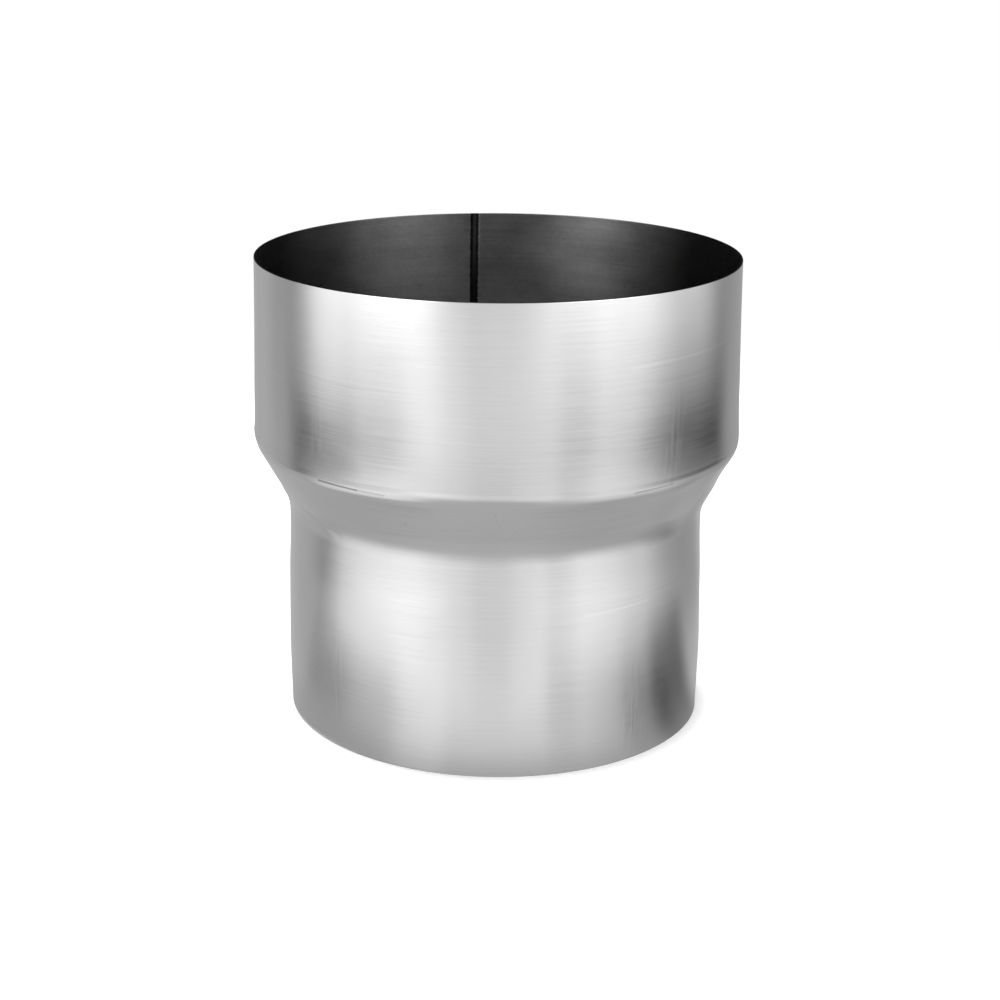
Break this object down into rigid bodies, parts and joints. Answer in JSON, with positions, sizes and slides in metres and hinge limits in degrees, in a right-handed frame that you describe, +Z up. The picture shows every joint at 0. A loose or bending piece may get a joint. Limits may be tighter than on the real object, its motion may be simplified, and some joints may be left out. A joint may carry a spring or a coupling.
{
  "type": "flue pipe adapter",
  "caption": "Sheet steel flue adapter: a round socket above steps through a short taper to a narrower round collar below, with a weld down its length.",
  "frame": {"origin": "centre of the collar's rim, in the plane that the adapter stands on", "axes": "+Z up the pipe axis, from the narrow collar to the wide socket; the picture is taken along +Y, with +X to the right, and the weld is at the back, a little to the left"},
  "size_m": [0.1516, 0.1516, 0.147],
  "materials": {
    "satin_stainless": "satin, brushed round the axis"
  },
  "bodies": {
    "root": {"adapter_shell": "satin_stainless"}
  },
  "joints": []
}
